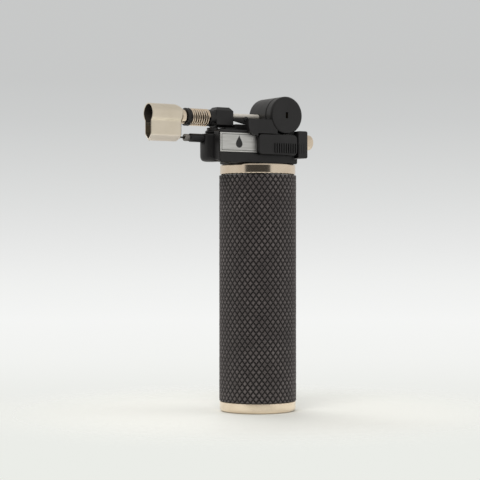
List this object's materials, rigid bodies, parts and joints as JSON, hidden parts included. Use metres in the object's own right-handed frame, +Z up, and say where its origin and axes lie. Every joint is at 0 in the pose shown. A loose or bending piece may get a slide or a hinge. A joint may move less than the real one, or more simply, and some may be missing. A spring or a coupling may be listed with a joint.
{
  "type": "butane torch",
  "caption": "Hand-held self-igniting micro torch: knurled cylindrical tank grip, moulded head, sprung burner with sheet nozzle guard, drum gas knob and push-button igniter.",
  "frame": {"origin": "on the grip's axis, at the tip of the fill valve's stem, level with the standing ring to within 0.35 mm", "axes": "+Z up along the grip, -X the way the burner points, -Y the label and igniter side"},
  "size_m": [0.0827, 0.036, 0.1463],
  "materials": {
    "knurled_grip": "black diamond knurl, satin",
    "moulded_black": "black moulded plastic, fine grain, semi-gloss",
    "polished_nickel": "polished nickel plate",
    "satin_nickel": "warm nickel plated sheet, lightly brushed",
    "tank_aluminium": "drawn, satin",
    "brass": "turned",
    "spring_steel": "bright steel",
    "darkened_steel": "blackened by heat",
    "label_foil": "silver printed plate",
    "ceramic": "unglazed white ceramic",
    "seal_rubber": "moulded rubber",
    "clear_plastic": "natural nylon",
    "lead_cover": "red insulation"
  },
  "bodies": {
    "torch": {"tank_shell": "tank_aluminium", "base_cap": "polished_nickel", "grip_sleeve": "knurled_grip", "neck_ring": "polished_nickel", "fill_valve_body": "brass", "fill_valve_gasket": "seal_rubber", "fill_valve_spring": "spring_steel", "fill_valve_nut": "brass", "tank_outlet_fitting": "brass", "pickup_tube": "clear_plastic", "pickup_filter": "brass", "riser_tube": "brass", "head_near_half": "moulded_black", "head_far_half": "moulded_black", "housing_screw_1": "spring_steel", "housing_screw_2": "spring_steel", "housing_screw_3": "spring_steel", "label_plate": "label_foil", "front_column": "moulded_black", "electrode_sleeve": "moulded_black", "electrode_insulator": "ceramic", "electrode_pin": "darkened_steel", "lead_wire": "lead_cover", "holder_neck": "moulded_black", "burner_holder": "moulded_black", "burner_barrel": "darkened_steel", "jet_nipple": "brass", "air_spring": "polished_nickel", "guard_neck_ring": "polished_nickel", "burner_nozzle": "spring_steel", "nozzle_guard": "satin_nickel", "valve_housing": "moulded_black", "spindle_o_ring": "seal_rubber", "needle_seat": "brass", "valve_plug": "brass", "gas_tube": "polished_nickel", "valve_cheek": "moulded_black", "top_deck": "moulded_black", "tube_arm": "moulded_black", "igniter_cover": "moulded_black", "igniter_end_cap": "moulded_black", "button_spring": "spring_steel", "igniter_tube": "moulded_black", "hammer_spring": "spring_steel", "igniter_anvil": "brass", "piezo_crystal": "ceramic"},
    "fill_stem": {"fill_valve_stem": "brass"},
    "gas_control": {"gas_knob": "moulded_black", "valve_spindle": "brass"},
    "needle": {"valve_needle": "spring_steel"},
    "push_button": {"igniter_button": "polished_nickel", "igniter_plunger": "moulded_black"},
    "hammer": {"igniter_hammer": "spring_steel"},
    "air_control": {"air_collar": "moulded_black"}
  },
  "joints": [
    {"name": "gas_knob_turn", "type": "hinge", "parent": "torch", "child": "gas_control", "pos_m": [0.0085, -0.0098, 0.1376], "axis": [0, 1, 0], "range_deg": [0, 270]},
    {"name": "needle_lift", "type": "slide", "parent": "torch", "child": "needle", "axis": [0, -1, 0], "range_m": [0, 0.00055]},
    {"name": "igniter_press", "type": "slide", "parent": "torch", "child": "push_button", "axis": [-1, 0, 0], "range_m": [0, 0.0038], "stiffness_N_per_m": 1500, "deforming": ["button_spring"]},
    {"name": "hammer_strike", "type": "slide", "parent": "torch", "child": "hammer", "axis": [-1, 0, 0], "range_m": [0, 0.002], "deforming": ["hammer_spring"]},
    {"name": "air_collar_turn", "type": "hinge", "parent": "torch", "child": "air_control", "pos_m": [-0.0383, 0, 0.1357], "axis": [1, 0, 0], "range_deg": [0, 45]},
    {"name": "fill_stem_press", "type": "slide", "parent": "torch", "child": "fill_stem", "axis": [0, 0, 1], "range_m": [0, 0.0015], "stiffness_N_per_m": 800, "deforming": ["fill_valve_spring"]}
  ],
  "couplings": [
    {"joint": "needle_lift", "follows": "gas_knob_turn", "m_per_rad": 0.000112},
    {"joint": "hammer_strike", "follows": "igniter_press", "ratio": 0.5}
  ]
}
